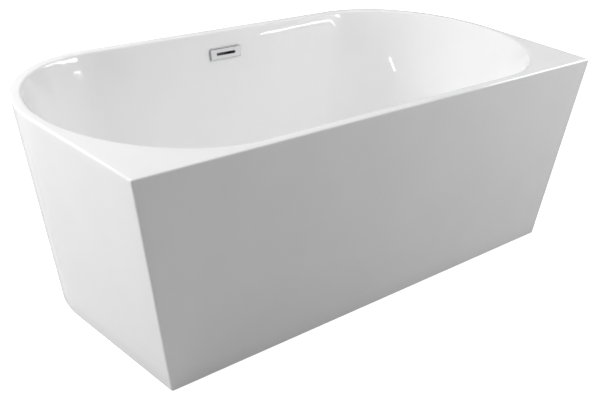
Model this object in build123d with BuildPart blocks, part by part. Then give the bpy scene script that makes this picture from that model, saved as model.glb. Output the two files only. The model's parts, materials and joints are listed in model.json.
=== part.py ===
"""Freestanding back-to-wall bathtub.

An acrylic basin and a one-piece skirt are bonded below the rim and stand on a steel cradle
with six levelling feet. The long flat side faces a wall, and the other long side is a half
stadium. A pop-up waste sits at the middle of the floor, with a slot overflow above it.

Frame, in millimetres: the origin is on the floor under the middle of the bathtub, +X runs
along the length, +Y points away from the wall, into the room, and +Z is up.
"""

from build123d import *
from math import atan, cos, degrees, radians, sin
import os

# Overall size and outer body
length = 1700
width = 780
height = 570
skirt_gap = 2  # clear of the floor, so that the feet carry the weight
end_inset = 125  # how far each end leans in from the rim to the floor
room_inset = 101  # the same on the room side; the wall side is upright
rim_corner_radius = 389
foot_corner_radius = 277
wall_corner_radius = 5.5
skirt_thickness = 5
rim_lip = 16  # height of the basin's own outer edge, above the bond line
rim_edge_radius = 4.5

# Basin
shell = 6
bowl_length = 1647
bowl_width = 723
bowl_middle = 1.5
floor_level = 140
floor_length = 1220
floor_width = 490
floor_radius = 90
bowl_edge_radius = 10

# Base board and steel cradle
board_length = 1060
board_width = 330
board_thickness = 12
board_opening_radius = 45
tube = 30
tube_wall = 2
long_rail_length = 1100
long_rail_spread = 120
cross_rail_x = 430
cross_rail_wall_end = -350
cross_rail_room_end = 255
cap_plate = 2
cap_plug_length = 12
screw_positions = (-520, -250, 250, 520)
screw_radius = 2.5
screw_head_radius = 5
screw_head_height = 3
running = 0.05  # radial clearance of threads and sliding fits

# Levelling feet
pad_radius = 25
pad_height = 8
stud_radius = 6
stud_side_clearance = 1
lock_nut_width = 19
lock_nut_height = 10
rivet_nut_radius = 9
rivet_nut_height = 12
wall_foot_y = -320
room_foot_y = 225
middle_foot_x = -170

# Wooden batten that stiffens the rim along the wall
batten_length = 1200
batten_depth = 16
batten_height = 30

# Waste
waste_hole_radius = 26
flange_recess_radius = 38
flange_recess = 3
flange_radius = 36
flange_thickness = 3
gasket_thickness = 1.5
tail_radius = 22
tail_bore_radius = 18
tail_bottom = 100
spider_level = 112
spider_height = 6
hub_radius = 8
seal_thickness = 4
body_flange_radius = 40
body_flange_height = 6
body_radius = 26
body_bottom = 56
outlet_radius = 20
outlet_bore_radius = 17.5
outlet_bottom = 24
branch_level = 74
branch_end = 60

# Pop-up plug, stored open
plug_travel = 8
plug_seat_gap = 0.3
plug_radius = 31
plug_edge_height = 2.5
plug_dome_height = 3.5
plug_seal_radius = 28
plug_seal_bore = 21
plug_seal_thickness = 2
stem_radius = 3
stem_length = 32
sleeve_radius = 7
sleeve_height = 14
sleeve_thread_radius = 4
sleeve_thread_length = 10
spring_radius = 5.4
spring_wire_radius = 0.6
spring_turns = 5

# Overflow
overflow_level = 505.5
cover_length = 117
cover_width = 33
cover_depth = 6
cover_wall = 1.5
cover_corner_radius = 2
cover_edge_radius = 1
slot_length = 72
slot_width = 8
frame_depth = 3.6
frame_slot_length = 80
frame_slot_width = 14
overflow_hole_length = 108
overflow_hole_width = 18
overflow_screw_spread = 48
overflow_screw_radius = 2
screw_clearance = 0.4
overflow_screw_bite = 10  # thread inside the overflow body
overflow_screw_hole = 12
overflow_screw_head_radius = 3.8
overflow_gasket_thickness = 2
chamber_length = 118
chamber_width = 34
chamber_depth = 16
chamber_wall = 2
boss_width = 18
duct_length = 53
duct_end_width = 34
duct_end_depth = 22
hose_axis_depth = 20
spigot_length = 25
spigot_radius = 8.9
spigot_bore_radius = 7
hose_radius = 11
hose_bore_radius = 8.95
hose_bend_radius = 70
hose_nut_radius = 13.5
hose_nut_length = 16

# Derived levels and slopes
board_top = floor_level - shell
board_bottom = board_top - board_thickness
long_rail_bottom = board_bottom - tube
cross_rail_bottom = long_rail_bottom - tube
bond_level = height - rim_lip
widest_level = height - rim_edge_radius
gasket_bottom = floor_level - flange_recess
flange_bottom = gasket_bottom + gasket_thickness
flange_top = flange_bottom + flange_thickness
waste_body_top = board_top - seal_thickness
plug_seal_bottom = flange_top + plug_seat_gap + plug_travel
plug_bottom = plug_seal_bottom + plug_seal_thickness
sleeve_bottom = spider_level + spider_height
spring_bottom = sleeve_bottom + sleeve_height
wall_slope = (bowl_width - floor_width) / 2 / (height - floor_level)
wall_angle = degrees(atan(wall_slope))
overflow_y = bowl_middle + bowl_width / 2 - wall_slope * (height - overflow_level)
wall_thickness = shell * cos(radians(wall_angle))
overflow_plane = Plane(
    origin=(0, overflow_y, overflow_level),
    x_dir=(1, 0, 0),
    z_dir=(0, -cos(radians(wall_angle)), sin(radians(wall_angle))),
)
overflow_axis = Axis(overflow_plane.origin, overflow_plane.z_dir)
long_rails = {"wall": bowl_middle - long_rail_spread, "room": bowl_middle + long_rail_spread}
cross_rails = {"left": -cross_rail_x, "right": cross_rail_x}
feet = {
    "wall_left": (-cross_rail_x, wall_foot_y, cross_rail_bottom),
    "wall_right": (cross_rail_x, wall_foot_y, cross_rail_bottom),
    "wall_middle": (middle_foot_x, long_rails["wall"], long_rail_bottom),
    "room_left": (-cross_rail_x, room_foot_y, cross_rail_bottom),
    "room_right": (cross_rail_x, room_foot_y, cross_rail_bottom),
    "room_middle": (middle_foot_x, long_rails["room"], long_rail_bottom),
}

os.makedirs("parts", exist_ok=True)


def write(piece, label):
    """Label one finished piece and write it as its own STEP file."""
    piece.part.label = label
    export_step(piece.part, f"parts/{label}.step")


def body_outline(level, shrink=0):
    """Sketch the outer body's outline at a level: square to the wall, round to the room."""
    lean = (widest_level - level) / widest_level
    end = length / 2 - end_inset * lean - shrink
    wall = -width / 2 + shrink
    room = width / 2 - room_inset * lean - shrink
    room_radius = rim_corner_radius + (foot_corner_radius - rim_corner_radius) * lean - shrink
    wall_radius = wall_corner_radius - shrink
    with BuildSketch(Plane.XY.offset(level)) as outline:
        with BuildLine():
            FilletPolyline(
                (-end, wall),
                (end, wall),
                (end, room),
                (-end, room),
                radius=[wall_radius, wall_radius, room_radius, room_radius],
                close=True,
            )
        make_face()
    return outline.sketch


def bowl_outline(level, grow=0):
    """Sketch the stadium-shaped outline of the bowl at a level."""
    drop = (height - level) / (height - floor_level)
    slot_long = bowl_length - (bowl_length - floor_length) * drop + 2 * grow
    slot_wide = bowl_width - (bowl_width - floor_width) * drop + 2 * grow
    with BuildSketch(Plane.XY.offset(level)) as outline:
        with Locations((0, bowl_middle)):
            SlotOverall(slot_long, slot_wide)
    return outline.sketch


def body_solid(bottom, top, shrink=0):
    """Loft the outer body between two levels, with true planes for its straight sides."""
    outlines = [body_outline(bottom, shrink), body_outline(top, shrink)]
    sides = loft(outlines, ruled=True, mode=Mode.PRIVATE).faces()
    curved = [face for face in sides if not face.edges().filter_by(GeomType.LINE)]
    flat = [Face(face.outer_wire()) for face in sides if face.edges().filter_by(GeomType.LINE)]
    return Solid(Shell(curved + flat))


# ---- Shells ------------------------------------------------------------------------------

with BuildPart() as bowl_outside:
    loft([bowl_outline(floor_level - shell, shell), bowl_outline(height, shell)], ruled=True)
    fillet(bowl_outside.faces().sort_by(Axis.Z)[0].edges(), floor_radius + shell)

with BuildPart() as bowl_inside:
    loft([bowl_outline(floor_level), bowl_outline(height)], ruled=True)
    fillet(bowl_inside.faces().sort_by(Axis.Z)[0].edges(), floor_radius)

with BuildPart() as basin:
    add(body_solid(bond_level, height))
    add(body_solid(bond_level, height - shell, skirt_thickness), mode=Mode.SUBTRACT)
    add(bowl_outside.part)
    add(bowl_inside.part, mode=Mode.SUBTRACT)
    deck = basin.faces().sort_by(Axis.Z)[-1]
    fillet(deck.inner_wires()[0].edges(), bowl_edge_radius)
    deck = basin.faces().sort_by(Axis.Z)[-1]
    fillet(deck.outer_wire().edges(), rim_edge_radius)
    with BuildSketch(Plane.XY.offset(gasket_bottom)):
        Circle(flange_recess_radius)
    extrude(amount=2 * flange_recess, mode=Mode.SUBTRACT)
    with BuildSketch(Plane.XY.offset(board_top)):
        Circle(waste_hole_radius)
    extrude(amount=shell, mode=Mode.SUBTRACT)
    with BuildSketch(overflow_plane):
        SlotOverall(overflow_hole_length, overflow_hole_width)
    extrude(amount=2 * shell, both=True, mode=Mode.SUBTRACT)
write(basin, "basin")

with BuildPart() as skirt:
    add(body_solid(skirt_gap, bond_level))
    add(body_solid(skirt_gap, bond_level, skirt_thickness), mode=Mode.SUBTRACT)
write(skirt, "skirt")

with BuildPart() as rim_batten:
    batten_y = -width / 2 + skirt_thickness + batten_depth / 2
    with BuildSketch(Plane.XY.offset(height - shell)):
        with Locations((0, batten_y)):
            Rectangle(batten_length, batten_depth)
    extrude(amount=-batten_height)
write(rim_batten, "rim_batten")

# ---- Base board and cradle ---------------------------------------------------------------

with BuildPart() as base_board:
    with BuildSketch(Plane.XY.offset(board_bottom)):
        with Locations((0, bowl_middle)):
            SlotOverall(board_length, board_width)
            with Locations((0, -bowl_middle)):
                Circle(board_opening_radius, mode=Mode.SUBTRACT)
            for x in screw_positions:
                with GridLocations(0, 2 * long_rail_spread, 1, 2):
                    with Locations((x, 0)):
                        Circle(screw_radius + running, mode=Mode.SUBTRACT)
    extrude(amount=board_thickness)
write(base_board, "base_board")


def rail(label, start, along, bottom, reach):
    """Write one square cradle tube from its start point, with its open ends along an axis."""
    across = Plane(origin=(*start, bottom + tube / 2), z_dir=along)
    with BuildPart() as piece:
        with BuildSketch(across):
            Rectangle(tube, tube)
            Rectangle(tube - 2 * tube_wall, tube - 2 * tube_wall, mode=Mode.SUBTRACT)
        extrude(amount=reach)
        for x, y, seat in feet.values():
            if seat == bottom:
                with BuildSketch(Plane.XY.offset(bottom)):
                    with Locations((x, y)):
                        Circle(stud_radius + stud_side_clearance)
                extrude(amount=tube_wall, mode=Mode.SUBTRACT)
        if bottom == long_rail_bottom:
            with BuildSketch(Plane.XY.offset(bottom)):
                for x in screw_positions:
                    with Locations((x, start[1])):
                        Circle(screw_radius + running)
            extrude(amount=tube, mode=Mode.SUBTRACT)
    write(piece, label)


for side, y in long_rails.items():
    rail(f"long_rail_{side}", (-long_rail_length / 2, y), (1, 0, 0), long_rail_bottom, long_rail_length)

cross_rail_length = cross_rail_room_end - cross_rail_wall_end
for side, x in cross_rails.items():
    rail(f"cross_rail_{side}", (x, cross_rail_wall_end), (0, 1, 0), cross_rail_bottom, cross_rail_length)

with BuildPart() as rail_end_caps:
    inside = tube - 2 * tube_wall - 2 * running
    ends = []
    for y in long_rails.values():
        for turn in (-1, 1):
            ends.append(((turn * long_rail_length / 2, y, long_rail_bottom + tube / 2), (turn, 0, 0)))
    for x in cross_rails.values():
        ends.append(((x, cross_rail_wall_end, cross_rail_bottom + tube / 2), (0, -1, 0)))
        ends.append(((x, cross_rail_room_end, cross_rail_bottom + tube / 2), (0, 1, 0)))
    for mouth, outward in ends:
        with BuildSketch(Plane(origin=mouth, z_dir=outward)):
            Rectangle(tube, tube)
        extrude(amount=cap_plate)
        with BuildSketch(Plane(origin=mouth, z_dir=outward)):
            Rectangle(inside, inside)
        extrude(amount=-cap_plug_length)
write(rail_end_caps, "rail_end_caps")

with BuildPart() as board_screws:
    for x in screw_positions:
        for y in long_rails.values():
            with BuildSketch(Plane.XY.offset(long_rail_bottom - screw_head_height)):
                with Locations((x, y)):
                    Circle(screw_head_radius)
            extrude(amount=screw_head_height)
            with BuildSketch(Plane.XY.offset(long_rail_bottom)):
                with Locations((x, y)):
                    Circle(screw_radius)
            extrude(amount=tube + 0.8 * board_thickness)
write(board_screws, "board_screws")

# ---- Levelling feet ----------------------------------------------------------------------

for place, (x, y, seat) in feet.items():
    with BuildPart() as foot_pad:
        with BuildSketch():
            with Locations((x, y)):
                Circle(pad_radius)
        extrude(amount=pad_height, taper=12)
        with BuildSketch(Plane.XY.offset(pad_height / 2)):
            with Locations((x, y)):
                Circle(stud_radius)
        extrude(amount=pad_height, mode=Mode.SUBTRACT)
    write(foot_pad, f"foot_pad_{place}")
    with BuildPart() as foot_stud:
        with BuildSketch(Plane.XY.offset(pad_height / 2)):
            with Locations((x, y)):
                Circle(stud_radius)
        extrude(amount=seat + tube - 2 * tube_wall - pad_height / 2)
        chamfer(foot_stud.faces().sort_by(Axis.Z)[-1].edges(), 1)
    write(foot_stud, f"foot_stud_{place}")

with BuildPart() as foot_lock_nuts:
    for x, y, seat in feet.values():
        with BuildSketch(Plane.XY.offset(seat - lock_nut_height)):
            with Locations((x, y)):
                RegularPolygon(lock_nut_width / 2, 6, major_radius=False)
                Circle(stud_radius + running, mode=Mode.SUBTRACT)
        extrude(amount=lock_nut_height)
write(foot_lock_nuts, "foot_lock_nuts")

with BuildPart() as foot_rivet_nuts:
    for x, y, seat in feet.values():
        with BuildSketch(Plane.XY.offset(seat + tube_wall)):
            with Locations((x, y)):
                Circle(rivet_nut_radius)
                Circle(stud_radius + running, mode=Mode.SUBTRACT)
        extrude(amount=rivet_nut_height)
write(foot_rivet_nuts, "foot_rivet_nuts")

# ---- Waste -------------------------------------------------------------------------------

with BuildPart() as drain_flange:
    with BuildSketch(Plane.XY.offset(flange_bottom)):
        Circle(flange_radius)
        Circle(tail_bore_radius, mode=Mode.SUBTRACT)
    extrude(amount=flange_thickness)
    rims = drain_flange.faces().sort_by(Axis.Z)[-1].edges().sort_by(SortBy.RADIUS)
    fillet(rims[-1], flange_thickness / 2)
    with BuildSketch(Plane.XY.offset(tail_bottom)):
        Circle(tail_radius)
        Circle(tail_bore_radius, mode=Mode.SUBTRACT)
    extrude(amount=flange_bottom - tail_bottom)
    with BuildSketch(Plane.XY.offset(spider_level)):
        Rectangle(2 * tail_bore_radius + 1, 4)
        Rectangle(4, 2 * tail_bore_radius + 1)
        Circle(hub_radius)
        Circle(sleeve_thread_radius + running, mode=Mode.SUBTRACT)
    extrude(amount=spider_height)
write(drain_flange, "drain_flange")

with BuildPart() as drain_gasket:
    with BuildSketch(Plane.XY.offset(gasket_bottom)):
        Circle(flange_radius - 1)
        Circle(tail_radius + 0.5, mode=Mode.SUBTRACT)
    extrude(amount=gasket_thickness)
write(drain_gasket, "drain_gasket")

with BuildPart() as drain_seal:
    with BuildSketch(Plane.XY.offset(waste_body_top)):
        Circle(body_flange_radius)
        Circle(tail_radius + 0.5, mode=Mode.SUBTRACT)
    extrude(amount=seal_thickness)
write(drain_seal, "drain_seal")

with BuildPart() as waste_body:
    with BuildSketch(Plane.XY.offset(waste_body_top - body_flange_height)):
        Circle(body_flange_radius)
    extrude(amount=body_flange_height)
    with BuildSketch(Plane.XY.offset(body_bottom)):
        Circle(body_radius)
    extrude(amount=waste_body_top - body_bottom)
    with BuildSketch(Plane.XY.offset(outlet_bottom)):
        Circle(outlet_radius)
    extrude(amount=body_bottom - outlet_bottom)
    with BuildSketch(Plane.XZ.offset(-branch_end)):
        with Locations((0, branch_level)):
            Circle(spigot_radius)
    extrude(amount=branch_end)
    with BuildSketch(Plane.XY.offset(tail_bottom)):
        Circle(tail_radius + running)
    extrude(amount=waste_body_top - tail_bottom, mode=Mode.SUBTRACT)
    with BuildSketch(Plane.XY.offset(outlet_bottom)):
        Circle(outlet_bore_radius)
    extrude(amount=tail_bottom - outlet_bottom, mode=Mode.SUBTRACT)
    with BuildSketch(Plane.XZ.offset(-branch_end)):
        with Locations((0, branch_level)):
            Circle(spigot_bore_radius)
    extrude(amount=branch_end, mode=Mode.SUBTRACT)
write(waste_body, "waste_body")

# ---- Pop-up plug -------------------------------------------------------------------------

with BuildPart() as plug_cap:
    with BuildSketch(Plane.XY.offset(plug_bottom)):
        Circle(plug_radius)
    extrude(amount=plug_edge_height + plug_dome_height)
    crown = plug_cap.faces().sort_by(Axis.Z)[-1].edges()
    chamfer(crown, length=plug_dome_height, length2=plug_radius / 3)
    shoulders = plug_cap.edges().filter_by(GeomType.CIRCLE).group_by(Axis.Z)
    fillet(shoulders[-1], plug_radius / 6)
write(plug_cap, "plug_cap")

with BuildPart() as plug_seal:
    with BuildSketch(Plane.XY.offset(plug_seal_bottom)):
        Circle(plug_seal_radius)
        Circle(plug_seal_bore, mode=Mode.SUBTRACT)
    extrude(amount=plug_seal_thickness)
write(plug_seal, "plug_seal")

with BuildPart() as plug_stem:
    with BuildSketch(Plane.XY.offset(plug_bottom)):
        Circle(stem_radius)
    extrude(amount=-stem_length)
write(plug_stem, "plug_stem")

with BuildPart() as plug_sleeve:
    with BuildSketch(Plane.XY.offset(sleeve_bottom)):
        Circle(sleeve_radius)
    extrude(amount=sleeve_height)
    with BuildSketch(Plane.XY.offset(sleeve_bottom)):
        Circle(sleeve_thread_radius)
    extrude(amount=-sleeve_thread_length)
    with BuildSketch(Plane.XY.offset(sleeve_bottom - sleeve_thread_length)):
        Circle(stem_radius + running)
    extrude(amount=sleeve_height + sleeve_thread_length, mode=Mode.SUBTRACT)
write(plug_sleeve, "plug_sleeve")

spring_room = plug_bottom - spring_bottom
with BuildPart() as plug_spring:
    coil_height = spring_room - 2 * spring_wire_radius
    with BuildLine(Plane.XY.offset(spring_bottom + spring_wire_radius)) as coil:
        Helix(coil_height / spring_turns, coil_height, spring_radius)
    with BuildSketch(coil.line ^ 0):
        Circle(spring_wire_radius)
    sweep(path=coil.line)
write(plug_spring, "plug_spring")

# ---- Overflow ----------------------------------------------------------------------------

with BuildPart() as overflow_cover:
    with BuildSketch(overflow_plane):
        Rectangle(cover_length, cover_width)
    extrude(amount=cover_depth)
    fillet(overflow_cover.edges().filter_by(overflow_axis), cover_corner_radius)
    fillet(overflow_cover.faces().sort_by(overflow_axis)[-1].edges(), cover_edge_radius)
    with BuildSketch(overflow_plane):
        Rectangle(cover_length - 2 * cover_wall, cover_width - 2 * cover_wall)
    extrude(amount=cover_depth - cover_wall, mode=Mode.SUBTRACT)
    with BuildSketch(overflow_plane.offset(cover_depth)):
        SlotOverall(slot_length, slot_width)
    extrude(amount=-2 * cover_wall, mode=Mode.SUBTRACT)
write(overflow_cover, "overflow_cover")

with BuildPart() as overflow_frame:
    with BuildSketch(overflow_plane):
        fit = 2 * cover_wall + 2 * running
        Rectangle(cover_length - fit, cover_width - fit)
        SlotOverall(frame_slot_length, frame_slot_width, mode=Mode.SUBTRACT)
    extrude(amount=frame_depth)
    with Locations(overflow_plane.offset(frame_depth)):
        with GridLocations(2 * overflow_screw_spread, 0, 2, 1):
            CounterSinkHole(
                overflow_screw_radius + screw_clearance,
                overflow_screw_head_radius + screw_clearance,
            )
write(overflow_frame, "overflow_frame")

with BuildPart() as overflow_screws:
    with BuildSketch(overflow_plane.offset(frame_depth)):
        with GridLocations(2 * overflow_screw_spread, 0, 2, 1):
            Circle(overflow_screw_radius)
    through = frame_depth + wall_thickness + overflow_gasket_thickness
    extrude(amount=-(through + overflow_screw_bite))
    head_height = overflow_screw_head_radius - overflow_screw_radius
    with BuildSketch(overflow_plane.offset(frame_depth)):
        with GridLocations(2 * overflow_screw_spread, 0, 2, 1):
            Circle(overflow_screw_head_radius)
    extrude(amount=-head_height, taper=45)
write(overflow_screws, "overflow_screws")

gasket_plane = overflow_plane.offset(-wall_thickness)
with BuildPart() as overflow_gasket:
    with BuildSketch(gasket_plane):
        Rectangle(chamber_length, chamber_width)
        SlotOverall(overflow_hole_length, overflow_hole_width, mode=Mode.SUBTRACT)
    extrude(amount=-overflow_gasket_thickness)
write(overflow_gasket, "overflow_gasket")

# The chamber, duct and spigot run down the outside of the bowl, parallel to its wall.
chamber_plane = gasket_plane.offset(-overflow_gasket_thickness)
down_wall = -overflow_plane.y_dir


def across_duct(fall):
    """Plane across the overflow duct, a given way down the wall from the overflow's middle."""
    middle = chamber_plane.origin + down_wall * fall
    return Plane(origin=middle, x_dir=(1, 0, 0), z_dir=down_wall)


def duct_section(fall, long, deep, setback):
    """Sketch a rectangle across the duct, set back from the chamber's front face."""
    with BuildSketch(across_duct(fall)) as section:
        with Locations((0, -side * (setback + deep / 2))):
            Rectangle(long, deep)
    return section.sketch


# The duct plane's own Y axis points either into the bathtub or away from it.
side = 1 if across_duct(0).y_dir.dot(overflow_plane.z_dir) > 0 else -1
axis_setback = hose_axis_depth - wall_thickness - overflow_gasket_thickness
duct_start = chamber_width / 2 - 1
duct_end = duct_start + duct_length
with BuildPart() as overflow_body:
    with BuildSketch(chamber_plane):
        Rectangle(chamber_length, chamber_width)
    extrude(amount=-chamber_depth)
    duct_setback = axis_setback - duct_end_depth / 2
    outside = [
        duct_section(duct_start, chamber_length - 2 * boss_width, chamber_depth, 0),
        duct_section(duct_end, duct_end_width, duct_end_depth, duct_setback),
    ]
    loft(outside, ruled=True)
    with BuildSketch(across_duct(duct_end)):
        with Locations((0, -side * axis_setback)):
            Circle(spigot_radius)
    extrude(amount=spigot_length)
    with BuildSketch(chamber_plane):
        Rectangle(chamber_length - 2 * boss_width, chamber_width - 2 * chamber_wall)
    extrude(amount=-(chamber_depth - chamber_wall), mode=Mode.SUBTRACT)
    inside_duct = [
        duct_section(
            duct_start - 2 * chamber_wall,
            chamber_length - 2 * boss_width - 2 * chamber_wall,
            chamber_depth - 2 * chamber_wall,
            chamber_wall,
        ),
        duct_section(
            duct_end - chamber_wall,
            duct_end_width - 2 * chamber_wall,
            duct_end_depth - 2 * chamber_wall,
            duct_setback + chamber_wall,
        ),
    ]
    loft(inside_duct, ruled=True, mode=Mode.SUBTRACT)
    with BuildSketch(across_duct(duct_end - 2 * chamber_wall)):
        with Locations((0, -side * axis_setback)):
            Circle(spigot_bore_radius)
    extrude(amount=spigot_length + 2 * chamber_wall, mode=Mode.SUBTRACT)
    with BuildSketch(chamber_plane):
        with GridLocations(2 * overflow_screw_spread, 0, 2, 1):
            Circle(overflow_screw_radius + running)
    extrude(amount=-overflow_screw_hole, mode=Mode.SUBTRACT)
write(overflow_body, "overflow_body")

hose_plane = Plane(
    origin=across_duct(duct_end).from_local_coords((0, -side * axis_setback, 0)),
    x_dir=(1, 0, 0),
    z_dir=down_wall,
)
hose_top = hose_plane.origin + down_wall * 1
hose_run = (hose_top.Z - branch_level) / -down_wall.Z
hose_corner = hose_top + down_wall * hose_run
hose_end = Vector(0, branch_end - spigot_length + 2, branch_level)
with BuildPart() as overflow_hose:
    with BuildLine() as route:
        FilletPolyline(hose_top, hose_corner, hose_end, radius=hose_bend_radius)
    with BuildSketch(Plane(origin=hose_top, x_dir=(1, 0, 0), z_dir=down_wall)):
        Circle(hose_radius)
        Circle(hose_bore_radius, mode=Mode.SUBTRACT)
    sweep(path=route.line)
write(overflow_hose, "overflow_hose")
print("overflow hose length", round(route.wires()[0].length), "bend radius", hose_bend_radius)


def hose_nut(label, seat):
    """Write one ring nut that closes a hose end on its spigot."""
    with BuildPart() as nut:
        with BuildSketch(seat):
            Circle(hose_nut_radius)
            Circle(hose_radius + running, mode=Mode.SUBTRACT)
        extrude(amount=hose_nut_length)
    write(nut, label)


hose_nut("hose_nut_upper", Plane(origin=hose_top + down_wall * 3, x_dir=(1, 0, 0), z_dir=down_wall))
hose_nut("hose_nut_lower", Plane(origin=hose_end + Vector(0, 3, 0), x_dir=(1, 0, 0), z_dir=(0, 1, 0)))
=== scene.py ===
"""Looks of the back-to-wall bathtub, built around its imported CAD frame. Metres, +Z up.

The basin, the skirt, the overflow cover and hose, the plug's dome and spring, and the pads
and studs of the feet are rebuilt as detailed meshes. The other CAD parts stay. Every part
gets a procedural material.
"""
import bmesh
import bpy
import json
from math import atan2, ceil, cos, pi, radians, sin, tan
from mathutils import Matrix, Vector

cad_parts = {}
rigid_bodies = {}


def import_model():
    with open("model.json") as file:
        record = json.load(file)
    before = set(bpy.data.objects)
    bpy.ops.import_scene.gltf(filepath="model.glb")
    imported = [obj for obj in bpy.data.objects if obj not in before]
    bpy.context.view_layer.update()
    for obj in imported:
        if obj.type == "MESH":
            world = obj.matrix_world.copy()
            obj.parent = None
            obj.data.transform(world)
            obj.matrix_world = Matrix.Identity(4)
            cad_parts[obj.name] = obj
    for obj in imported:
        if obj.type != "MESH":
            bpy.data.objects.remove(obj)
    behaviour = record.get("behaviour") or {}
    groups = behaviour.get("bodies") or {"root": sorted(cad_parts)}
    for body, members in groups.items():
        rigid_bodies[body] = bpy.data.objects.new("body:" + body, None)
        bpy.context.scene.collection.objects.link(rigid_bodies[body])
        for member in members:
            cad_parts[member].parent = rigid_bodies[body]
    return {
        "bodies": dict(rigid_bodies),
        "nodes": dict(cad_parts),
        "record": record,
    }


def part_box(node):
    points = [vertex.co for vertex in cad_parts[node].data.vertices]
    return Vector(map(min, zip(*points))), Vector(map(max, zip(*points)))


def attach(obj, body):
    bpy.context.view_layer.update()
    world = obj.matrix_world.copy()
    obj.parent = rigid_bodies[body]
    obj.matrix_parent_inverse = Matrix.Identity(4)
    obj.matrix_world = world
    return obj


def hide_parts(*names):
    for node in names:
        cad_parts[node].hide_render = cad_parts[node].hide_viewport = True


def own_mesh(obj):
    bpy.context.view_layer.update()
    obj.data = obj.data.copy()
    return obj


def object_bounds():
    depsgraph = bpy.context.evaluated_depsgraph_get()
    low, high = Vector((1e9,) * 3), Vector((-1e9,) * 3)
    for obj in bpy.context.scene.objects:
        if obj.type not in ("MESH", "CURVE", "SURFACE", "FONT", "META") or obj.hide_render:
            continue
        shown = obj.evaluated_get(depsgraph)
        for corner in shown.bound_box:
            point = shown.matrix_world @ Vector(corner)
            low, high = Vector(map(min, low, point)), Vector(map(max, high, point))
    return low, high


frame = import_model()
cad_low, cad_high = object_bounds()
nodes = frame["nodes"]

# ---- Sizes of the shells, as in the CAD model --------------------------------------------

height = cad_high.z
half_length = cad_high.x
half_width = cad_high.y
skirt_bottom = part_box("skirt")[0].z
bond_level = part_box("skirt")[1].z
end_inset = 0.125
room_inset = 0.101
rim_corner_radius = 0.389
foot_corner_radius = 0.277
wall_corner_radius = 0.0055
skirt_thickness = 0.005
edge_radius = 0.0045
widest_level = height - edge_radius

shell = 0.006
bowl_half_length = 0.8235
bowl_half_width = 0.3615
bowl_middle = 0.0015
floor_level = 0.140
floor_half_length = 0.610
floor_half_width = 0.245
floor_radius = 0.090
bowl_edge_radius = 0.010
waste_hole_radius = 0.026
flange_recess = 0.003
flange_recess_radius = 0.038
wall_angle = atan2(bowl_half_width - floor_half_width, height - floor_level)

# ---- Sizes of the small parts, as in the CAD model ---------------------------------------

cover_depth = 0.006
cover_wall = 0.0015
cover_corner = 0.002
cover_slot_length = 0.072
cover_slot_width = 0.008
opening_length = 0.108
opening_width = 0.018
plug_edge_height = 0.0025
spring_wire_radius = 0.0006
spring_turns = 5
pad_floor = 0.004
hose_bend_radius = 0.070
hose_wall = 0.00205

# ---- Details that the CAD model leaves out, or has smaller -------------------------------

cover_edge = 0.0016
cover_least_corner = 0.0004
slot_edge = 0.0004
face_margin = 0.0004
opening_reach = 0.02
pad_socket_radius = 0.00605
thread_pitch = 0.00175
thread_depth = 0.0008
stud_margin = 0.00005
hose_ripple = 0.004
hose_ripple_depth = 0.0014
hose_cuff = 0.022

# ---- Plan of the two outlines ------------------------------------------------------------
# Every ring of the shells has the same points in the same order, so rings join into quads.
# A point of the plan is a zone and how far along that zone it is, on the +X half.

ZONES = (
    ("wall_side", 16),
    ("wall_run", 12),
    ("corner", 10),
    ("end", 14),
    ("room_arc", 40),
    ("room_side", 16),
)


def plan_points():
    """The half plan's points from the middle of the wall side to the middle of the room side."""
    points = [("wall_side", 0.0)]
    for zone, steps in ZONES:
        points += [(zone, step / steps) for step in range(1, steps + 1)]
    return points


SMALLEST_CORNER = 0.0003


def body_at(point, level, shrink=0.0):
    """A point of the outer body's outline on the +X half, at a level, moved inwards by shrink."""
    zone, along = point
    lean = (widest_level - level) / widest_level
    end = half_length - end_inset * lean - shrink
    wall = -half_width + shrink
    room = half_width - room_inset * lean - shrink
    radius = rim_corner_radius + (foot_corner_radius - rim_corner_radius) * lean - shrink
    corner = max(wall_corner_radius - shrink, SMALLEST_CORNER)
    middle = Vector((end - radius, room - radius))
    if zone == "wall_side":
        return Vector((middle.x * along, wall))
    if zone == "wall_run":
        return Vector((middle.x + (end - corner - middle.x) * along, wall))
    if zone == "corner":
        turn = along * pi / 2
        return Vector((end - corner + corner * sin(turn), wall + corner - corner * cos(turn)))
    if zone == "end":
        return Vector((end, wall + corner + (middle.y - wall - corner) * along))
    if zone == "room_arc":
        turn = along * pi / 2
        return middle + radius * Vector((cos(turn), sin(turn)))
    return Vector((middle.x * (1 - along), room))


def bowl_size(level, grow):
    """Half length of the straight part and end radius of the bowl's stadium at a level."""
    drop = (height - level) / (height - floor_level)
    radius = bowl_half_width - (bowl_half_width - floor_half_width) * drop + grow
    reach = bowl_half_length - (bowl_half_length - floor_half_length) * drop + grow
    return reach - radius, radius


def bowl_at(point, level, grow=0.0):
    """The bowl's point across from a body point, at a level, moved outwards by grow."""
    zone, along = point
    straight, radius = bowl_size(level, grow)
    if zone == "wall_side":
        return Vector((straight * along, bowl_middle - radius))
    if zone == "room_side":
        return Vector((straight * (1 - along), bowl_middle + radius))
    rim_straight = bowl_size(height, 0)[0]
    across = body_at(point, height) - Vector((rim_straight, bowl_middle))
    turn = min(max(atan2(across.y, across.x), -pi / 2), pi / 2)
    return Vector((straight + radius * cos(turn), bowl_middle + radius * sin(turn)))


def slope_of(outline, point):
    """Tangent of the wall's lean at a plan point: how far it moves out per metre of height."""
    probe = 0.001
    sign = 1 if outline is bowl_at else -1
    out = (outline(point, height, sign * probe) - outline(point, height)).normalized()
    rise = height - floor_level
    return (outline(point, height) - outline(point, floor_level)).dot(out) / rise


HALF = plan_points()


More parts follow.
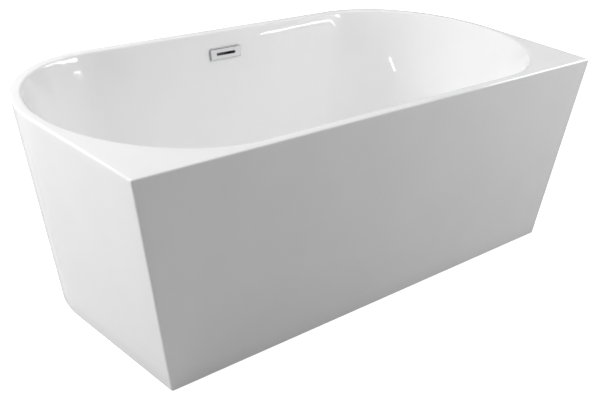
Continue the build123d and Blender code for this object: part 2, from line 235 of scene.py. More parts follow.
def whole_ring(outline, level_of, offset_of):
    """A closed ring of 3-D points: the +X half, then its mirror image."""
    right = []
    for point in HALF:
        level = level_of(point)
        flat = outline(point, level, offset_of(point, level))
        right.append(Vector((flat.x, flat.y, level)))
    left = [Vector((-p.x, p.y, p.z)) for p in reversed(right[1:-1])]
    return right + left


def flat_ring(outline, level, offset=0.0):
    return whole_ring(outline, lambda point: level, lambda point, at: offset)


def blend_rings(first, last, steps):
    """The rings between two rings, without the two."""
    between = []
    for step in range(1, steps):
        part = step / steps
        between.append([a.lerp(b, part) for a, b in zip(first, last)])
    return between


def edge_ring(part):
    """A ring round the rim's outer edge: part 0 is on the deck and part 1 on the outer wall."""
    levels, shrinks = {}, {}
    for point in HALF:
        lean = slope_of(body_at, point)
        angle = atan2(lean, 1)
        turn = part * (pi / 2 + angle)
        reach = edge_radius * (1 + sin(angle)) / cos(angle)
        level = height - edge_radius + edge_radius * cos(turn)
        levels[point] = level
        shrinks[point] = -(height - level) * lean + reach - edge_radius * sin(turn)
    return whole_ring(body_at, levels.get, lambda point, at: shrinks[point])


def mouth_ring(part, radius, grow=0.0):
    """A ring round the bowl's upper edge: part 0 is on the deck and part 1 on the bowl's wall."""
    levels, grows = {}, {}
    for point in HALF:
        lean = slope_of(bowl_at, point)
        angle = atan2(lean, 1)
        turn = part * (pi / 2 - angle)
        reach = radius * (1 - sin(angle)) / cos(angle)
        level = height - radius + radius * cos(turn)
        levels[point] = level
        grows[point] = grow + (height - level) * lean + reach - radius * sin(turn)
    return whole_ring(bowl_at, levels.get, lambda point, at: grows[point])


def floor_ring(part, radius, bottom, grow=0.0):
    """A ring round the bowl's lower edge: part 0 is on the wall and part 1 on the floor."""
    levels, grows = {}, {}
    for point in HALF:
        lean = slope_of(bowl_at, point)
        angle = atan2(lean, 1)
        turn = (1 - part) * (pi / 2 - angle)
        reach = radius * tan((pi / 2 - angle) / 2)
        level = bottom + radius * (1 - cos(turn))
        levels[point] = level
        grows[point] = grow - (level - bottom) * lean - reach + radius * sin(turn)
    return whole_ring(bowl_at, levels.get, lambda point, at: grows[point])


def round_ring(like, radius, level):
    """A circle round the drain whose points face the points of another ring."""
    ring = []
    for p in like:
        turn = atan2(p.y, p.x)
        ring.append(Vector((radius * cos(turn), radius * sin(turn), level)))
    return ring


# ---- Mesh helpers ------------------------------------------------------------------------

def new_piece(name, verts, faces, materials, face_material=None, sharp=()):
    """A smooth-shaded mesh object; face_material gives each face's material index."""
    mesh = bpy.data.meshes.new(name)
    mesh.from_pydata([tuple(v) for v in verts], [], faces)
    mesh.update()
    for material in materials:
        mesh.materials.append(material)
    if face_material:
        mesh.polygons.foreach_set("material_index", face_material)
    mesh.polygons.foreach_set("use_smooth", [True] * len(mesh.polygons))
    piece = bpy.data.objects.new(name, mesh)
    bpy.context.scene.collection.objects.link(piece)
    tidy_normals(piece, sharp)
    return piece


def tidy_normals(piece, sharp=()):
    """Turn the faces outwards, and mark edges sharp where the caller says so."""
    mesh = bmesh.new()
    mesh.from_mesh(piece.data)
    bmesh.ops.recalc_face_normals(mesh, faces=mesh.faces)
    wanted = set(sharp)
    for edge in mesh.edges:
        if (min(v.index for v in edge.verts), max(v.index for v in edge.verts)) in wanted:
            edge.smooth = False
    mesh.to_mesh(piece.data)
    mesh.free()


def join_rings(rings, closed=False):
    """Quads between each ring and the next, and from the last back to the first if closed."""
    count = len(rings[0])
    pairs = list(zip(range(len(rings)), range(1, len(rings))))
    if closed:
        pairs.append((len(rings) - 1, 0))
    faces = []
    for a, b in pairs:
        for i in range(count):
            j = (i + 1) % count
            faces.append((a * count + i, a * count + j, b * count + j, b * count + i))
    return faces


def ring_edges(index, count):
    """The edges of one ring, as pairs of vertex indices."""
    edges = []
    for i in range(count):
        a, b = index * count + i, index * count + (i + 1) % count
        edges.append((min(a, b), max(a, b)))
    return edges


def shell_piece(name, stages, materials):
    """A closed shell from stages of (rings, material index, sharp at its first ring)."""
    rings, slots, sharp = [], [], []
    for stage_rings, slot, first_is_sharp in stages:
        if first_is_sharp:
            sharp.append(len(rings))
        rings += stage_rings
        slots += [slot] * len(stage_rings)
    count = len(rings[0])
    faces = join_rings(rings, closed=True)
    face_material = [slot for slot in slots for _ in range(count)]
    edges = [edge for index in sharp for edge in ring_edges(index, count)]
    verts = [v for ring in rings for v in ring]
    return new_piece(name, verts, faces, materials, face_material, edges)


def cut(piece, cutter):
    """Subtract a closed mesh from a piece and remove the cutter."""
    modifier = piece.modifiers.new("cut", "BOOLEAN")
    modifier.object = cutter
    modifier.operation = "DIFFERENCE"
    modifier.solver = "EXACT"
    graph = bpy.context.evaluated_depsgraph_get()
    mesh = bpy.data.meshes.new_from_object(piece.evaluated_get(graph))
    piece.modifiers.clear()
    piece.data = mesh
    bpy.data.objects.remove(cutter)


# ---- Materials ---------------------------------------------------------------------------

class Nodes:
    """A material's node tree, with short calls to add and link nodes."""

    def __init__(self, name):
        self.material = bpy.data.materials.new(name)
        self.material.use_nodes = True
        self.tree = self.material.node_tree
        self.shader = self.tree.nodes["Principled BSDF"]

    def add(self, kind, **values):
        node = self.tree.nodes.new(kind)
        for key, value in values.items():
            if key in node.inputs:
                node.inputs[key].default_value = value
            else:
                setattr(node, key, value)
        return node

    def link(self, source, target):
        self.tree.links.new(source, target)

    def set(self, **values):
        names = {name.replace(" ", "_").lower(): name for name in self.shader.inputs.keys()}
        for key, value in values.items():
            self.shader.inputs[names[key]].default_value = value

    def place(self, scale=(1, 1, 1)):
        """Object coordinates, which are metres in the CAD frame, stretched by scale."""
        where = self.add("ShaderNodeTexCoord")
        mapping = self.add("ShaderNodeMapping")
        mapping.inputs["Scale"].default_value = scale
        self.link(where.outputs["Object"], mapping.inputs["Vector"])
        return mapping.outputs["Vector"]

    def noise(self, scale, detail=3.0, roughness=0.5, stretch=(1, 1, 1)):
        node = self.add("ShaderNodeTexNoise", Scale=scale, Detail=detail, Roughness=roughness)
        self.link(self.place(stretch), node.inputs["Vector"])
        return node.outputs["Fac"]

    def ramp(self, source, low, high, start=0.3, end=0.7):
        """Map a factor from start..end to low..high, which are numbers."""
        node = self.add("ShaderNodeMapRange")
        node.inputs["From Min"].default_value = start
        node.inputs["From Max"].default_value = end
        node.inputs["To Min"].default_value = low
        node.inputs["To Max"].default_value = high
        self.link(source, node.inputs["Value"])
        return node.outputs["Result"]

    def tint(self, source, dark, light, start=0.3, end=0.7):
        """A colour between two colours by a factor."""
        node = self.add("ShaderNodeValToRGB")
        node.color_ramp.elements[0].position = start
        node.color_ramp.elements[0].color = (*dark, 1)
        node.color_ramp.elements[1].position = end
        node.color_ramp.elements[1].color = (*light, 1)
        self.link(source, node.inputs["Fac"])
        return node.outputs["Color"]

    def bump(self, source, strength, distance, under=None):
        node = self.add("ShaderNodeBump", Strength=strength, Distance=distance)
        self.link(source, node.inputs["Height"])
        if under:
            self.link(under, node.inputs["Normal"])
        return node.outputs["Normal"]

    def finish(self, colour=None, roughness=None, normal=None):
        if colour:
            self.link(colour, self.shader.inputs["Base Color"])
        if roughness:
            self.link(roughness, self.shader.inputs["Roughness"])
        if normal:
            self.link(normal, self.shader.inputs["Normal"])
        return self.material


def grey(value, warm=0.0):
    return (value + warm, value, value - warm)


def acrylic():
    """Polished white sanitary acrylic: nearly even, with faint waves and wipe marks."""
    nodes_ = Nodes("white_acrylic")
    nodes_.set(ior=1.49, specular_ior_level=0.5)
    tone = nodes_.noise(6, 2)
    smear = nodes_.noise(9, 4, 0.6, (1, 1, 3))
    waves = nodes_.noise(14, 1)
    pores = nodes_.noise(900, 2)
    normal = nodes_.bump(pores, 0.03, 0.00005, nodes_.bump(waves, 0.25, 0.0004))
    return nodes_.finish(
        nodes_.tint(tone, grey(0.855), grey(0.875)), nodes_.ramp(smear, 0.02, 0.05), normal
    )


def glass_fibre():
    """The rough back of the shells: chopped strands rolled into milky resin."""
    nodes_ = Nodes("glass_fibre_back")
    strands = nodes_.noise(60, 5, 0.7, (1, 6, 2))
    crossed = nodes_.noise(60, 5, 0.7, (6, 1, 3))
    resin = nodes_.noise(8, 3)
    cells = nodes_.add("ShaderNodeTexVoronoi", Scale=220.0)
    nodes_.link(nodes_.place((1, 3, 1)), cells.inputs["Vector"])
    under = nodes_.bump(cells.outputs["Distance"], 0.4, 0.0006)
    normal = nodes_.bump(strands, 0.6, 0.001, nodes_.bump(crossed, 0.6, 0.001, under))
    return nodes_.finish(
        nodes_.tint(resin, (0.60, 0.58, 0.50), (0.74, 0.72, 0.65)),
        nodes_.ramp(crossed, 0.35, 0.7),
        normal,
    )


def plywood():
    """Birch plywood with grain along X and darker glue lines between its plies."""
    nodes_ = Nodes("plywood")
    grain = nodes_.noise(40, 6, 0.65, (0.6, 9, 9))
    rings = nodes_.add("ShaderNodeTexWave", Scale=6.0, Distortion=6.0, Detail=3.0)
    nodes_.link(nodes_.place((0.2, 3, 1)), rings.inputs["Vector"])
    plies = nodes_.add("ShaderNodeTexWave", Scale=160.0, bands_direction="Z")
    nodes_.link(nodes_.place(), plies.inputs["Vector"])
    mix = nodes_.add("ShaderNodeMix", data_type="RGBA", blend_type="MULTIPLY")
    mix.inputs["Factor"].default_value = 0.35
    nodes_.link(
        nodes_.tint(grain, (0.50, 0.35, 0.20), (0.70, 0.54, 0.35)), mix.inputs["A"]
    )
    glue_lines = nodes_.tint(plies.outputs["Fac"], grey(0.45), grey(1.0), 0.1, 0.4)
    nodes_.link(glue_lines, mix.inputs["B"])
    normal = nodes_.bump(grain, 0.3, 0.0004, nodes_.bump(rings.outputs["Fac"], 0.1, 0.0003))
    return nodes_.finish(mix.outputs["Result"], nodes_.ramp(grain, 0.55, 0.8), normal)


def powder_coat():
    """Dark grey powder coating with its fine orange peel."""
    nodes_ = Nodes("powder_coated_steel")
    peel = nodes_.noise(700, 2)
    dust = nodes_.noise(25, 4, 0.6)
    return nodes_.finish(
        nodes_.tint(dust, grey(0.030), grey(0.050)),
        nodes_.ramp(dust, 0.38, 0.55),
        nodes_.bump(peel, 0.35, 0.0002),
    )


def metal(name, colour, rough_low, rough_high, scale=120, strength=0.05, stretch=(1, 1, 1)):
    """A bare or plated metal with faint marks in its polish."""
    nodes_ = Nodes(name)
    nodes_.set(metallic=1.0)
    marks = nodes_.noise(scale, 4, 0.6, stretch)
    dark = tuple(0.93 * part for part in colour)
    return nodes_.finish(
        nodes_.tint(marks, dark, colour),
        nodes_.ramp(marks, rough_low, rough_high),
        nodes_.bump(marks, strength, 0.0001),
    )


def moulded(name, dark, light, rough_low, rough_high, scale=500):
    """A moulded plastic or rubber with a fine matt texture."""
    nodes_ = Nodes(name)
    texture = nodes_.noise(scale, 3)
    cloud = nodes_.noise(30, 3)
    return nodes_.finish(
        nodes_.tint(cloud, dark, light),
        nodes_.ramp(cloud, rough_low, rough_high),
        nodes_.bump(texture, 0.2, 0.0001),
    )


white_acrylic = acrylic()
fibre_back = glass_fibre()
materials = {
    "white_acrylic": white_acrylic,
    "plywood": plywood(),
    "powder_coated_steel": powder_coat(),
    "zinc_steel": metal("zinc_steel", (0.62, 0.63, 0.62), 0.28, 0.45, 90, 0.15),
    "spring_steel": metal("spring_steel", (0.58, 0.58, 0.60), 0.22, 0.35, 300, 0.1),
    "chrome": metal("chrome", (0.58, 0.58, 0.59), 0.03, 0.08, 60, 0.01),
    "brass": metal("brass", (0.78, 0.58, 0.28), 0.22, 0.38, 150, 0.1, (1, 1, 6)),
    "black_plastic": moulded("black_plastic", grey(0.018), grey(0.028), 0.4, 0.55),
    "white_plastic": moulded("white_plastic", grey(0.70, 0.005), grey(0.78, 0.005), 0.35, 0.5),
    "hose_plastic": moulded("hose_plastic", grey(0.42), grey(0.48), 0.35, 0.5),
    "seal_rubber": moulded("seal_rubber", grey(0.012), grey(0.02), 0.55, 0.75, 300),
}

slot_of = {part["node"]: part["material_slot"] for part in frame["record"]["subparts"]}
for name, node in nodes.items():
    for index in range(len(node.material_slots)):
        node.material_slots[index].material = materials[slot_of[name]]

# ---- Basin and skirt ---------------------------------------------------------------------

EDGE_STEPS = 8
DECK_STEPS = 5
MOUTH_STEPS = 8
WALL_STEPS = 10
FLOOR_STEPS = 14
BOTTOM_STEPS = 8
UNDER_BOTTOM_STEPS = 6
UNDER_DECK_STEPS = 4

lip_bottom = flat_ring(body_at, bond_level)
edge = [edge_ring(1 - step / EDGE_STEPS) for step in range(EDGE_STEPS + 1)]
mouth = [mouth_ring(step / MOUTH_STEPS, bowl_edge_radius) for step in range(MOUTH_STEPS + 1)]
bowl_foot = [
    floor_ring(step / FLOOR_STEPS, floor_radius, floor_level) for step in range(FLOOR_STEPS + 1)
]
recess_edge = round_ring(bowl_foot[-1], flange_recess_radius, floor_level)
recess_foot = round_ring(bowl_foot[-1], flange_recess_radius, floor_level - flange_recess)
hole_top = round_ring(bowl_foot[-1], waste_hole_radius, floor_level - flange_recess)
hole_bottom = round_ring(bowl_foot[-1], waste_hole_radius, floor_level - shell)

under_radius = floor_radius + shell
under_level = floor_level - shell
under_foot = [
    floor_ring(1 - step / FLOOR_STEPS, under_radius, under_level, shell)
    for step in range(FLOOR_STEPS + 1)
]
under_deck = flat_ring(bowl_at, height - shell, shell)
lip_inside = flat_ring(body_at, height - shell, skirt_thickness)
lip_inside_foot = flat_ring(body_at, bond_level, skirt_thickness)

POLISHED, FIBRE = 0, 1
basin = shell_piece(
    "basin_shell",
    (
        ([lip_bottom], POLISHED, True),
        (edge, POLISHED, False),
        (blend_rings(edge[-1], mouth[0], DECK_STEPS), POLISHED, False),
        (mouth, POLISHED, False),
        (blend_rings(mouth[-1], bowl_foot[0], WALL_STEPS), POLISHED, False),
        (bowl_foot, POLISHED, False),
        (blend_rings(bowl_foot[-1], recess_edge, BOTTOM_STEPS), POLISHED, False),
        ([recess_edge], POLISHED, True),
        ([recess_foot], POLISHED, True),
        ([hole_top], POLISHED, True),
        ([hole_bottom], FIBRE, True),
        (blend_rings(hole_bottom, under_foot[0], UNDER_BOTTOM_STEPS), FIBRE, False),
        (under_foot, FIBRE, False),
        (blend_rings(under_foot[-1], under_deck, WALL_STEPS), FIBRE, False),
        ([under_deck], FIBRE, True),
        (blend_rings(under_deck, lip_inside, UNDER_DECK_STEPS), FIBRE, False),
        ([lip_inside], FIBRE, True),
        ([lip_inside_foot], FIBRE, True),
    ),
    (white_acrylic, fibre_back),
)

SKIRT_STEPS = 12
FOOT_STEPS = 4
foot_round = 0.002
skirt_top = flat_ring(body_at, bond_level)
skirt_foot = []
for step in range(FOOT_STEPS + 1):
    turn = (step / FOOT_STEPS) * pi / 2
    level = skirt_bottom + foot_round * (1 - cos(turn))
    skirt_foot.append(flat_ring(body_at, level, foot_round * (1 - sin(turn))))
inner_top = flat_ring(body_at, bond_level, skirt_thickness)
inner_foot = flat_ring(body_at, skirt_bottom, skirt_thickness)
skirt = shell_piece(
    "skirt_shell",
    (
        (skirt_foot, POLISHED, False),
        (blend_rings(skirt_foot[-1], skirt_top, SKIRT_STEPS), POLISHED, False),
        ([skirt_top], FIBRE, True),
        ([inner_top], FIBRE, True),
        (blend_rings(inner_top, inner_foot, SKIRT_STEPS), FIBRE, False),
        ([inner_foot], FIBRE, True),
    ),
    (white_acrylic, fibre_back),
)

# ---- Overflow cover, plug, feet and hose -------------------------------------------------

def middle_of(node):
    """A node's box as its middle, its size and its lowest corner."""
    low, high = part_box(node)
    return (low + high) / 2, high - low, low


CORNER_STEPS, LONG_STEPS, WIDE_STEPS = 6, 24, 4


def stadium_outline(long, wide):
    """A slot's points, in step with the points of rounded_outline."""
    radius = wide / 2
    points = []
    for index in range(4):
        side = 1 if index in (0, 3) else -1
        centre = Vector((side * (long / 2 - radius), 0))
        turn_step = 180 / (2 * CORNER_STEPS + WIDE_STEPS)
        if index % 2 == 0:
            first, count = 90 + 180 * (index // 2) - CORNER_STEPS * turn_step, CORNER_STEPS
        else:
            first, count = 90 * index, CORNER_STEPS + WIDE_STEPS - 1
        for step in range(count + 1):
            angle = radians(first + step * turn_step)
            points.append(centre + radius * Vector((cos(angle), sin(angle))))
        if index % 2 == 0:
            last, target = points[-1], Vector((-points[-1].x, points[-1].y))
            points += [last.lerp(target, step / LONG_STEPS) for step in range(1, LONG_STEPS)]
    return points


def rounded_outline(long, wide, radius):
    """A rounded rectangle's points."""
    points = []
    centres = ((1, 1, 0), (-1, 1, 90), (-1, -1, 180), (1, -1, 270))
    for index, (side_x, side_y, start) in enumerate(centres):
        centre = Vector((side_x * (long / 2 - radius), side_y * (wide / 2 - radius)))
        for step in range(CORNER_STEPS + 1):
            angle = radians(start + 90 * step / CORNER_STEPS)
            points.append(centre + radius * Vector((cos(angle), sin(angle))))
        next_x, next_y, next_start = centres[(index + 1) % 4]
        target = Vector((next_x * (long / 2 - radius), next_y * (wide / 2 - radius)))
        target += radius * Vector((cos(radians(next_start)), sin(radians(next_start))))
        steps = LONG_STEPS if index % 2 == 0 else WIDE_STEPS
        last = points[-1]
        points += [last.lerp(target, step / steps) for step in range(1, steps)]
    return points


# Directions on the leaning far wall: out of its face, and up along it.
WALL_FACE = Vector((0, -cos(wall_angle), sin(wall_angle)))
WALL_UP = Vector((0, sin(wall_angle), cos(wall_angle)))


def overflow_opening():
    """The cutter of the slot through the far wall, behind the overflow cover."""
    middle = middle_of("overflow_cover")[0]
    outline = stadium_outline(opening_length, opening_width)
    rings = []
    for depth in (-opening_reach, opening_reach):
        back = middle + WALL_FACE * depth
        rings += [back + Vector((point.x, 0, 0)) + WALL_UP * point.y for point in outline]
    count = len(outline)
    faces = join_rings((outline, outline))
    faces += [tuple(range(count)), tuple(range(2 * count - 1, count - 1, -1))]
    return new_piece("overflow_opening", rings, faces, (white_acrylic, fibre_back))


def overflow_cover():
    """The pressed cover: a shallow rounded box with a slot through its face."""
    middle, size, _ = middle_of("overflow_cover")
    long = size.x
    wide = (size.z - cover_depth * sin(wall_angle)) / cos(wall_angle)
    back = middle - WALL_FACE * cover_depth / 2

    def ring(shrink, depth, slot=False):
        if slot:
            reach = cover_slot_width - 2 * shrink
            outline = stadium_outline(cover_slot_length - 2 * shrink, reach)
        else:
            radius = max(cover_corner - shrink, cover_least_corner)
            outline = rounded_outline(long - 2 * shrink, wide - 2 * shrink, radius)
        front = back + WALL_FACE * depth
        return [front + Vector((point.x, 0, 0)) + WALL_UP * point.y for point in outline]

    steps = 6
    edge, lip = [], []
    for step in range(steps + 1):
        angle = step / steps * pi / 2
        edge_depth = cover_depth - cover_edge * (1 - sin(angle))
        edge.append(ring(cover_edge * (1 - cos(angle)), edge_depth))
        lip_depth = cover_depth - slot_edge * (1 - cos(angle))
        lip.append(ring(-slot_edge * (1 - sin(angle)), lip_depth, True))
    under = cover_depth - cover_wall
    return shell_piece(
        "overflow_cover_plate",
        (
            ([ring(0, 0)], 0, True),
            (edge, 0, False),
            ([ring(cover_edge + face_margin, cover_depth)], 0, False),
            ([ring(-slot_edge - face_margin, cover_depth, True)], 0, False),
            (lip, 0, False),
            ([ring(0, under, True)], 0, True),
            ([ring(cover_wall, under)], 0, True),
            ([ring(cover_wall, 0)], 0, True),
        ),
        (materials["chrome"],),
    )


def turned(name, profile, centre, material, steps=72, sharp=(), swell=None):
    """A closed turned solid; the profile runs from pole to pole as (radius, level) pairs."""
    verts = [Vector((centre.x, centre.y, profile[0][1]))]
    rings = profile[1:-1]
    for radius, level in rings:
        for index in range(steps):
            angle = 2 * pi * index / steps
            reach = swell(radius, level, angle) if swell else radius
            x, y = centre.x + reach * cos(angle), centre.y + reach * sin(angle)
            verts.append(Vector((x, y, level)))
    verts.append(Vector((centre.x, centre.y, profile[-1][1])))
    faces = []
    for ring in range(len(rings) - 1):
        for index in range(steps):
            a, b = 1 + ring * steps + index, 1 + ring * steps + (index + 1) % steps
            faces.append((a, b, b + steps, a + steps))
    top = len(verts) - 1
    first = 1 + (len(rings) - 1) * steps
    for index in range(steps):
        after = (index + 1) % steps
        faces.append((0, 1 + after, 1 + index))
        faces.append((first + index, first + after, top))
    edges = []
    for ring in sharp:
        for index in range(steps):
            a, b = 1 + ring * steps + index, 1 + ring * steps + (index + 1) % steps
            edges.append((min(a, b), max(a, b)))
    return new_piece(name, verts, faces, (materials[material],), sharp=edges)


def plug_cap():
    """The domed plug top, with a rolled lower edge."""
    middle, size, low = middle_of("plug_cap")
    radius, bottom, top = size.x / 2, low.z, low.z + size.z
    roll, roll_steps, dome_steps = 0.0008, 4, 16
    profile = [(0, bottom), (radius / 2, bottom)]
    for step in range(roll_steps + 1):
        angle = pi / 2 * step / roll_steps
        profile.append((radius - roll * (1 - sin(angle)), bottom + roll * (1 - cos(angle))))
    edge_top = bottom + plug_edge_height
    profile.append((radius, edge_top - roll))
    for step in range(1, roll_steps + 1):
        angle = pi / 2 * step / roll_steps
        profile.append((radius - roll * (1 - cos(angle)), edge_top - roll * (1 - sin(angle))))
    rise = top - edge_top
    for step in range(1, dome_steps):
        part = step / dome_steps
        profile.append(((radius - roll) * (1 - part), top - rise * (1 - part) ** 2))
    profile.append((0, top))
    return turned("plug_cap_dome", profile, middle, "chrome", 96)


def plug_spring():
    """The coil under the plug cap."""
    middle, size, low = middle_of("plug_spring")
    radius = size.x / 2 - spring_wire_radius
    climb = size.z - 2 * spring_wire_radius
    per_turn, around = 36, 12
    count = spring_turns * per_turn
    verts, faces = [], []
    for index in range(count + 1):
        angle = 2 * pi * index / per_turn
        out = Vector((cos(angle), sin(angle), 0))
        centre = Vector((middle.x, middle.y, low.z + spring_wire_radius)) + radius * out
        centre.z += climb * index / count
        slope = climb / (2 * pi * spring_turns * radius)
        ahead = Vector((-sin(angle), cos(angle), slope)).normalized()
        across = ahead.cross(out)
        for step in range(around):
            turn = 2 * pi * step / around
            verts.append(centre + spring_wire_radius * (cos(turn) * out + sin(turn) * across))
    for index in range(count):
        for step in range(around):
            a, b = index * around + step, index * around + (step + 1) % around
            faces.append((a, b, b + around, a + around))
    faces += [tuple(range(around)), tuple(range((count + 1) * around - 1, count * around - 1, -1))]
    return new_piece("plug_spring_coil", verts, faces, (materials["spring_steel"],))


def foot_pad(place):
    """The round foot pad: a ribbed rim, a sloping top and a socket for the stud."""
    middle, size, low = middle_of(f"foot_pad_{place}")
    radius, top = size.x / 2, low.z + size.z
    rib_depth, rib_count = 0.0008, 36
    break_edge, socket_edge, groove = 0.0006, 0.0004, 0.0005
    rim_top = low.z + 0.4 * size.z

    def ribs(reach, level, angle):
        on_rim = reach > radius - rib_depth and level > low.z + break_edge
        return reach - rib_depth * (0.5 + 0.5 * cos(rib_count * angle)) if on_rim else reach

    profile = [
        (0, low.z),
        (0.45 * radius, low.z),
        (0.48 * radius, low.z + groove),
        (0.72 * radius, low.z + groove),
        (0.75 * radius, low.z),
        (radius - break_edge, low.z),
        (radius, low.z + break_edge),
        (radius, low.z + 2 * break_edge),
        (radius, rim_top),
        (radius - 0.0010, rim_top + 0.0007),
        (0.62 * radius, top - 0.0008),
        (0.40 * radius, top - 0.0002),
        (0.36 * radius, top),
        (pad_socket_radius + socket_edge, top),
        (pad_socket_radius, top - socket_edge),
        (pad_socket_radius, low.z + pad_floor),
        (0, low.z + pad_floor),
    ]
    name = f"foot_pad_ribbed_{place}"
    return turned(name, profile, middle, "black_plastic", 4 * rib_count, (4, 11, 14), ribs)


def foot_stud(place):
    """The stud, with its helical thread and chamfered ends."""
    middle, size, low = middle_of(f"foot_stud_{place}")
    radius, bottom, top = size.x / 2 - stud_margin, low.z, low.z + size.z
    steps, per_turn = 24, 6
    count = ceil((top - bottom) / (thread_pitch / per_turn))
    profile = [(0, bottom)]
    for index in range(count + 1):
        profile.append((radius, bottom + (top - bottom) * index / count))
    profile.append((0, top))

    def thread(reach, level, angle):
        turn = ((level - bottom) / thread_pitch - angle / (2 * pi)) % 1.0
        flank = abs(2 * turn - 1)
        depth = thread_depth * min(max(1.2 * flank - 0.1, 0), 1)
        from_end = min(level - bottom, top - level)
        chamfer = max(thread_depth - from_end, 0)
        return reach - max(depth, chamfer)

    name = f"foot_stud_threaded_{place}"
    return turned(name, profile, middle, "zinc_steel", steps, (0, count), thread)


def overflow_hose():
    """The corrugated hose: down behind the wall, round one bend and along to the waste."""
    low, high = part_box("overflow_hose")
    radius = (high.x - low.x) / 2
    start = Vector((0, high.y - radius * cos(wall_angle), high.z - radius * sin(wall_angle)))
    down = Vector((0, -sin(wall_angle), -cos(wall_angle)))
    finish_level = low.z + radius
    corner = start + down * (start.z - finish_level) / cos(wall_angle)
    turn = pi / 2 - wall_angle
    trim = hose_bend_radius * tan(turn / 2)
    first_run = (corner - start).length - trim
    bend = hose_bend_radius * turn
    last_run = corner.y - trim - low.y
    centre = start + down * first_run + WALL_FACE * hose_bend_radius
    total = first_run + bend + last_run

    def spine(distance):
        """The point on the middle line at a distance, and the direction it runs in."""
        if distance <= first_run:
            return start + down * distance, down
        if distance >= first_run + bend:
            reach = distance - first_run - bend
            return Vector((0, corner.y - trim - reach, finish_level)), Vector((0, -1, 0))
        angle = wall_angle + (distance - first_run) / hose_bend_radius
        run = Vector((0, -sin(angle), -cos(angle)))
        outward = Vector((0, cos(angle), -sin(angle)))
        return centre + outward * hose_bend_radius, run

    def ring(distance, reach):
        point, run = spine(distance)
        side = Vector((1, 0, 0))
        other = run.cross(side)
        segments = 28
        around = [2 * pi * index / segments for index in range(segments)]
        return [point + reach * (cos(turn) * side + sin(turn) * other) for turn in around]

    outside = []
    per_ripple, inside_steps = 6, 60
    count = round(total / hose_ripple) * per_ripple
    for index in range(count + 1):
        distance = total * index / count
        ripple = 0.5 - 0.5 * cos(2 * pi * index / per_ripple)
        near_end = min(distance, total - distance) < hose_cuff
        outside.append(ring(distance, radius - (0 if near_end else hose_ripple_depth * ripple)))
    bore = radius - hose_wall
    inside = [
        ring(total * index / inside_steps, bore) for index in range(inside_steps, -1, -1)
    ]
    return shell_piece(
        "overflow_hose_corrugated",
        (
            (outside[:1], 0, True),
            (outside[1:], 0, False),
            (inside[:1], 0, True),
            (inside[1:], 0, False),
        ),
        (materials["hose_plastic"],),
    )


def add_piece(piece, body, node):
    """Ride a piece on a body in place of a CAD node, which is hidden."""
    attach(piece, body)
    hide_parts(node)


cut(basin, overflow_opening())
add_piece(basin, "bath", "basin")
add_piece(skirt, "bath", "skirt")
add_piece(overflow_cover(), "bath", "overflow_cover")
add_piece(overflow_hose(), "bath", "overflow_hose")
add_piece(plug_cap(), "plug", "plug_cap")
spring = plug_spring()
add_piece(spring, "bath", "plug_spring")
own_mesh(spring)
for body in frame["bodies"]:
    if body.startswith("foot_"):
        place = body.removeprefix("foot_")
        add_piece(foot_pad(place), body, f"foot_pad_{place}")
        add_piece(foot_stud(place), body, f"foot_stud_{place}")

# ---- Stage, light and camera -------------------------------------------------------------

FLOOR_SIZE = 14.0
FLOOR_DROP = 0.0005
floor_mesh = bpy.data.meshes.new("studio_floor")
reach = FLOOR_SIZE / 2
sides = ((-1, -1), (1, -1), (1, 1), (-1, 1))
corners = [(x * reach, y * reach, -FLOOR_DROP) for x, y in sides]
floor_mesh.from_pydata(corners, [], [(0, 1, 2, 3)])
studio_floor = bpy.data.objects.new("studio_floor", floor_mesh)
bpy.context.scene.collection.objects.link(studio_floor)
floor_nodes = Nodes("studio_floor")
floor_nodes.set(roughness=1.0, specular_ior_level=0.0, emission_strength=0.08)
floor_nodes.set(base_color=(0.5, 0.5, 0.5, 1), emission_color=(1, 1, 1, 1))
shown = floor_nodes.add("ShaderNodeBsdfPrincipled")
shown.inputs["Base Color"].default_value = (0.8, 0.8, 0.8, 1)
shown.inputs["Roughness"].default_value = 1.0
shown.inputs["Specular IOR Level"].default_value = 0.0
shown.inputs["Emission Color"].default_value = (1, 1, 1, 1)
shown.inputs["Emission Strength"].default_value = 0.95
seen_by = floor_nodes.add("ShaderNodeLightPath")
either = floor_nodes.add("ShaderNodeMixShader")
floor_nodes.link(seen_by.outputs["Is Camera Ray"], either.inputs["Fac"])
floor_nodes.link(floor_nodes.shader.outputs["BSDF"], either.inputs[1])
floor_nodes.link(shown.outputs["BSDF"], either.inputs[2])
surface = floor_nodes.tree.nodes["Material Output"].inputs["Surface"]
floor_nodes.link(either.outputs["Shader"], surface)
floor_mesh.materials.append(floor_nodes.material)

# The room: white behind the bathtub, and a soft grey gradient in the reflections.
ROOM_BANDS = ((0.0, 0.30), (0.17, 0.28), (0.42, 0.26), (0.72, 0.22), (1.0, 0.20))
BRIGHTEST = 0.3
world = bpy.data.worlds.new("studio")
world.use_nodes = True
bpy.context.scene.world = world
tree = world.node_tree
background = tree.nodes["Background"]
direction = tree.nodes.new("ShaderNodeTexCoord")
split = tree.nodes.new("ShaderNodeSeparateXYZ")
tree.links.new(direction.outputs["Generated"], split.inputs["Vector"])
bands = tree.nodes.new("ShaderNodeValToRGB")
for index, (level, value) in enumerate(ROOM_BANDS):
    stop = bands.color_ramp.elements[index] if index < 2 else bands.color_ramp.elements.new(level)
    stop.position = level
    stop.color = (*grey(value / BRIGHTEST), 1)
tree.links.new(split.outputs["Z"], bands.inputs["Fac"])
ray = tree.nodes.new("ShaderNodeLightPath")
reflected = tree.nodes.new("ShaderNodeMath")
reflected.operation = "MULTIPLY"
reflected.inputs[1].default_value = BRIGHTEST
tree.links.new(ray.outputs["Is Glossy Ray"], reflected.inputs[0])
tree.links.new(bands.outputs["Color"], background.inputs["Color"])
tree.links.new(reflected.outputs["Value"], background.inputs["Strength"])
white = tree.nodes.new("ShaderNodeBackground")
choose = tree.nodes.new("ShaderNodeMixShader")
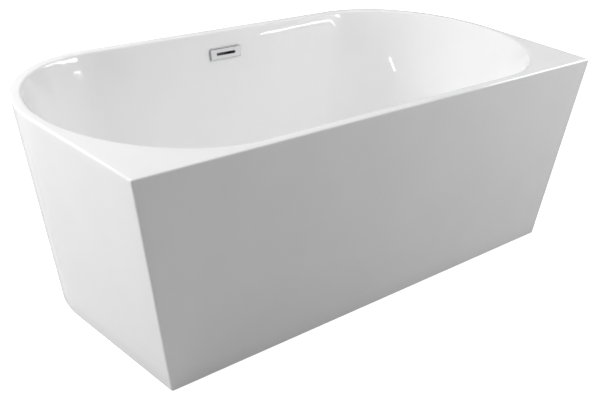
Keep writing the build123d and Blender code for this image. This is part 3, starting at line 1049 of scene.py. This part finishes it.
white.inputs["Color"].default_value = (1, 1, 1, 1)
tree.links.new(ray.outputs["Is Camera Ray"], choose.inputs["Fac"])
tree.links.new(background.outputs["Background"], choose.inputs[1])
tree.links.new(white.outputs["Background"], choose.inputs[2])
tree.links.new(choose.outputs["Shader"], tree.nodes["World Output"].inputs["Surface"])


TUB_MIDDLE = (0.0, 0.0, 0.285)


def softbox(name, aim, azimuth, elevation, distance, size, brightness, reflections=True):
    """A rectangular light aimed at a point, for reflections or for shading only.

    Azimuth 0 is in front of the wall side and 90 is beyond the +X end.
    """
    light = bpy.data.lights.new(name, "AREA")
    light.shape = "RECTANGLE"
    light.size, light.size_y = size
    light.energy = brightness * pi * size[0] * size[1]
    lamp = bpy.data.objects.new(name, light)
    a, e = radians(azimuth), radians(elevation)
    away = Vector((sin(a) * cos(e), -cos(a) * cos(e), sin(e)))
    lamp.location = Vector(aim) + away * distance
    lamp.rotation_euler = away.to_track_quat("Z", "Y").to_euler()
    lamp.visible_camera = False
    lamp.visible_glossy = reflections
    lamp.visible_diffuse = not reflections
    bpy.context.scene.collection.objects.link(lamp)


SHADING_DISTANCE = 3.2
SHADING_SIZE = (2.4, 2.4)
# Broad boxes that shade the bathtub: name, azimuth, elevation, brightness.
SHADING = (
    ("back_left_high", -135, 50, 3.3),
    ("back_left_low", -135, 22, 2.46),
    ("left_low", -90, 22, 1.76),
    ("right_front_high", 45, 50, 2.07),
    ("right_front_low", 45, 22, 1.17),
    ("right_low", 90, 22, 1.62),
    ("front_left_low", -45, 22, 0.07),
    ("overhead", 0, 90, 0.44),
)
for name, azimuth, elevation, brightness in SHADING:
    softbox(
        name, TUB_MIDDLE, azimuth, elevation, SHADING_DISTANCE, SHADING_SIZE, brightness, False
    )

# Boxes that only show in the gloss: name, the point each is aimed at, azimuth, elevation,
# distance, size, brightness.
HIGHLIGHTS = (
    ("window", TUB_MIDDLE, 59, 10, 8.0, (7.8, 2.8), 0.82),
    ("edge_box", (0.65, -0.385, 0.565), 78, 20.5, 2.6, (1.6, 0.4), 9.0),
    ("right_edge_box", (0.65, -0.385, 0.565), 88, 33, 2.6, (1.3, 0.8), 10.0),
    ("corner_strip", (-0.72, 0.25, 0.555), 56, 11.7, 4.0, (0.84, 0.14), 12.0),
    ("left_end_box", (-0.85, -0.1, 0.57), 172, 37, 3.0, (0.8, 0.6), 6.0),
    ("strip_lamp", (-0.508, 0.347, 0.526), 50.5, 7.9, 4.84, (0.6, 0.025), 20.0),
    ("flash", (0.646, 0.229, 0.406), -39, 29.5, 3.0, (0.5, 0.02), 20.0),
)
for row in HIGHLIGHTS:
    softbox(*row)

camera_azimuth = -45.57
camera_elevation = 25.12
camera_roll = 5.51
camera_distance = 3.0157
camera_aim = Vector((0.0332, 0, 0.1392))
camera = bpy.data.cameras.new("camera")
camera.lens = 60.42
camera.sensor_width = 36.0
camera.clip_end = 100
eye = bpy.data.objects.new("camera", camera)
a, e = radians(camera_azimuth), radians(camera_elevation)
back = Vector((sin(a) * cos(e), -cos(a) * cos(e), sin(e)))
right = Vector((0, 0, 1)).cross(back).normalized()
turn = Matrix((right, back.cross(right), back)).transposed().to_4x4()
roll = Matrix.Rotation(radians(camera_roll), 4, "Z")
eye.matrix_world = Matrix.Translation(camera_aim + back * camera_distance) @ turn @ roll
bpy.context.scene.collection.objects.link(eye)
bpy.context.scene.camera = eye
bpy.context.scene.view_settings.view_transform = "Standard"
